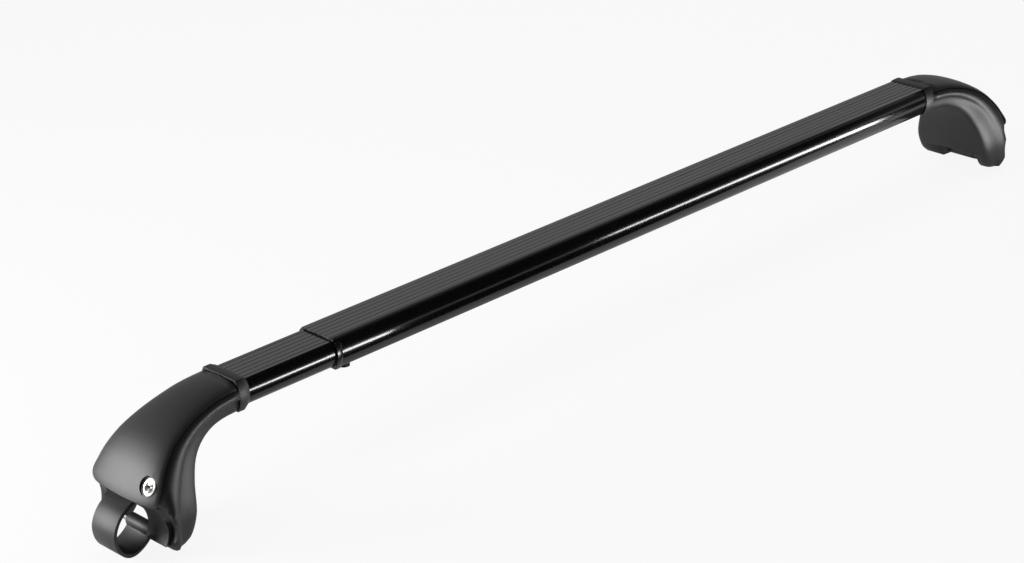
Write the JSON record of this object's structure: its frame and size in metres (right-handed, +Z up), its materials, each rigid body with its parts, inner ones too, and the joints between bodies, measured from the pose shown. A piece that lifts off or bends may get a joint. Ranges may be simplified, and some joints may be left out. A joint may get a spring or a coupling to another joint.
{
  "type": "roof rack crossbar",
  "caption": "Telescopic ribbed steel roof bar with a flared foot at each end, held on a raised rail by a tensioned strap behind a locking cover.",
  "frame": {"origin": "on the ground below the middle of the bar", "axes": "+X along the bar towards the fixed foot, +Z up, +Y towards the back"},
  "size_m": [1.2274, 0.1066, 0.1229],
  "materials": {
    "black_steel": "gloss black powder coat",
    "nylon": "moulded glass-filled nylon",
    "cover_nylon": "fine-grained moulded nylon",
    "soft_trim": "matt moulded rubber",
    "strap": "rubber-coated steel band",
    "plated_steel": "bright zinc plate",
    "lock_chrome": "nickel-plated"
  },
  "bodies": {
    "bar": {"outer_tube": "black_steel", "mouth_trim": "soft_trim", "lock_nut": "black_steel", "right_foot_body": "nylon", "right_collar": "soft_trim", "right_rail_pad": "soft_trim", "right_strap": "strap", "right_strap_clip": "nylon", "right_anchor_pin": "plated_steel", "right_screw_washer": "plated_steel", "right_rivets": "plated_steel"},
    "slider": {"inner_tube": "black_steel", "tube_glide": "nylon", "left_foot_body": "nylon", "left_collar": "soft_trim", "left_rail_pad": "soft_trim", "left_strap": "strap", "left_strap_clip": "nylon", "left_anchor_pin": "plated_steel", "left_screw_washer": "plated_steel", "left_rivets": "plated_steel"},
    "length_lock": {"lock_screw": "plated_steel"},
    "right_cover_door": {"right_cover": "cover_nylon", "right_lock_housing": "nylon"},
    "right_lock": {"right_lock_barrel": "lock_chrome", "right_lock_cam": "plated_steel"},
    "right_tensioner": {"right_tongue": "plated_steel", "right_barrel_nut": "plated_steel"},
    "right_screw": {"right_tension_screw": "plated_steel"},
    "left_cover_door": {"left_cover": "cover_nylon", "left_lock_housing": "nylon"},
    "left_lock": {"left_lock_barrel": "lock_chrome", "left_lock_cam": "plated_steel"},
    "left_tensioner": {"left_tongue": "plated_steel", "left_barrel_nut": "plated_steel"},
    "left_screw": {"left_tension_screw": "plated_steel"}
  },
  "joints": [
    {"name": "bar_length", "type": "slide", "parent": "bar", "child": "slider", "axis": [-1, 0, 0], "range_m": [-0.095, 0.19]},
    {"name": "length_lock_turn", "type": "hinge", "parent": "bar", "child": "length_lock", "pos_m": [-0.342, 0, 0.084], "axis": [0, 0, -1], "range_deg": [0, 720]},
    {"name": "right_cover_hinge", "type": "hinge", "parent": "bar", "child": "right_cover_door", "pos_m": [0.4824, 0, 0.1203], "axis": [0, -1, 0], "range_deg": [0, 35]},
    {"name": "right_key_turn", "type": "hinge", "parent": "right_cover_door", "child": "right_lock", "pos_m": [0.57772, 0.031, 0.06281], "axis": [0.8348, 0, 0.5505], "range_deg": [0, 90]},
    {"name": "right_tension", "type": "slide", "parent": "bar", "child": "right_tensioner", "axis": [-0.5505, 0, 0.8348], "range_m": [0, 0.009]},
    {"name": "right_screw_turn", "type": "hinge", "parent": "bar", "child": "right_screw", "pos_m": [0.57117, 0, 0.06185], "axis": [-0.5505, 0, 0.8348], "range_deg": [0, 3240]},
    {"name": "left_cover_hinge", "type": "hinge", "parent": "slider", "child": "left_cover_door", "pos_m": [-0.4824, 0, 0.1203], "axis": [0, 1, 0], "range_deg": [0, 35]},
    {"name": "left_key_turn", "type": "hinge", "parent": "left_cover_door", "child": "left_lock", "pos_m": [-0.57772, -0.031, 0.06281], "axis": [-0.8348, 0, 0.5505], "range_deg": [0, 90]},
    {"name": "left_tension", "type": "slide", "parent": "slider", "child": "left_tensioner", "axis": [0.5505, 0, 0.8348], "range_m": [0, 0.009]},
    {"name": "left_screw_turn", "type": "hinge", "parent": "slider", "child": "left_screw", "pos_m": [-0.57117, 0, 0.06185], "axis": [0.5505, 0, 0.8348], "range_deg": [0, 3240]}
  ],
  "couplings": [
    {"joint": "right_screw_turn", "follows": "right_tension", "rad_per_m": 6283.2},
    {"joint": "left_screw_turn", "follows": "left_tension", "rad_per_m": 6283.2}
  ]
}
